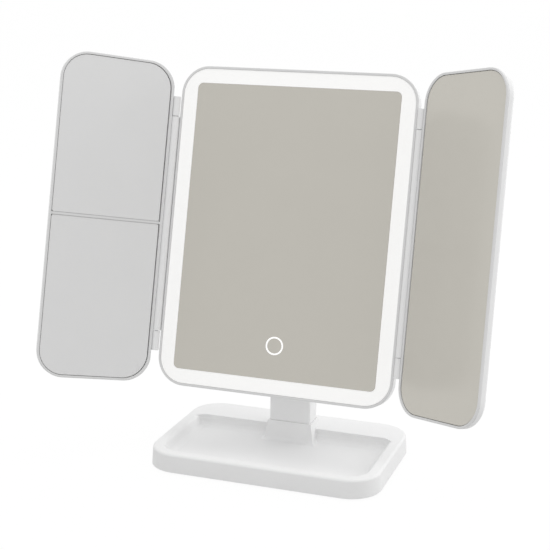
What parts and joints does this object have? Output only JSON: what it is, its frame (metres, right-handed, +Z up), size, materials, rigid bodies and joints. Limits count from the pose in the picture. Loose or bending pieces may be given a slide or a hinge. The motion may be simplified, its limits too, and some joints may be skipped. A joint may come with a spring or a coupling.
{
  "type": "trifold vanity mirror",
  "caption": "Tabletop vanity mirror with a lit frosted ring, folding side mirrors, a tilting head on a short neck, and a cosmetics tray as its base.",
  "frame": {"origin": "on the table, at the centre of the tray's middle foot", "axes": "+Z up from the table, the user sits on the -Y side, +X is to the user's right"},
  "size_m": [0.3452, 0.1463, 0.3154],
  "materials": {
    "white_shell": "satin moulded plastic",
    "white_shell_dull": "fine grained moulding",
    "base_cover": "fine grained moulding",
    "rim_plastic": "satin moulded plastic",
    "frosted_ring": "frosted translucent plastic",
    "centre_silver": "silvered glass",
    "wing_silver": "silvered glass",
    "print_white": "printed mark",
    "foam_tape": "closed-cell foam tape",
    "carrier_plastic": "white reflective moulding",
    "board_white": "white solder mask",
    "board_green": "green solder mask",
    "chip_black": "moulded packages",
    "lamp_yellow": "phosphor filled lens",
    "spring_steel": "drawn wire",
    "socket_steel": "stamped shell",
    "battery_silver": "foil pouch",
    "lead_red": "soft sleeve",
    "lead_grey": "soft sleeve",
    "steel": "zinc plated",
    "screw_steel": "nickel plated",
    "bush_plastic": "dark acetal",
    "rubber": "soft pad"
  },
  "bodies": {
    "stand": {"base_tray": "white_shell", "base_bottom_plate": "base_cover", "ballast_blocks": "steel", "rubber_feet": "rubber", "base_screws": "screw_steel", "neck_front_shell": "white_shell", "neck_rear_cover": "white_shell", "neck_spine": "steel", "neck_screws": "screw_steel", "neck_bushes": "bush_plastic"},
    "head": {"tilt_yoke": "white_shell_dull", "tilt_shaft": "steel", "tilt_nut": "screw_steel", "yoke_screws": "screw_steel", "yoke_caps": "white_shell", "head_rear_shell": "white_shell", "head_bezel": "rim_plastic", "light_diffuser": "frosted_ring", "centre_mirror": "centre_silver", "touch_ring": "print_white", "mirror_tape": "foam_tape", "mirror_carrier": "carrier_plastic", "led_board": "board_white", "leds": "lamp_yellow", "main_board": "board_green", "board_parts": "chip_black", "touch_spring": "spring_steel", "battery_pack": "battery_silver", "battery_tape": "foam_tape", "usb_socket": "socket_steel", "battery_lead": "lead_red", "led_lead": "lead_grey", "head_screws": "screw_steel", "board_screws": "screw_steel", "left_hinge_bushes": "bush_plastic", "right_hinge_bushes": "bush_plastic"},
    "left_wing": {"left_wing_back": "white_shell", "left_wing_frame": "rim_plastic", "left_upper_mirror": "wing_silver", "left_lower_mirror": "wing_silver", "left_mirror_tape": "foam_tape", "left_hinge_pins": "steel"},
    "right_wing": {"right_wing_back": "white_shell", "right_wing_frame": "rim_plastic", "right_mirror": "centre_silver", "right_mirror_tape": "foam_tape", "right_hinge_pins": "steel"}
  },
  "joints": [
    {"name": "head_tilt", "type": "hinge", "parent": "stand", "child": "head", "pos_m": [0, 0.0297, 0.1751], "axis": [-1, 0, 0], "range_deg": [-16, 31]},
    {"name": "left_wing_fold", "type": "hinge", "parent": "head", "child": "left_wing", "pos_m": [-0.098, 0.0002, 0.18245], "axis": [0, 0.2419, 0.9703], "range_deg": [-39.5, 140]},
    {"name": "right_wing_fold", "type": "hinge", "parent": "head", "child": "right_wing", "pos_m": [0.098, 0.0002, 0.18245], "axis": [0, -0.2419, -0.9703], "range_deg": [-39.5, 140]}
  ]
}
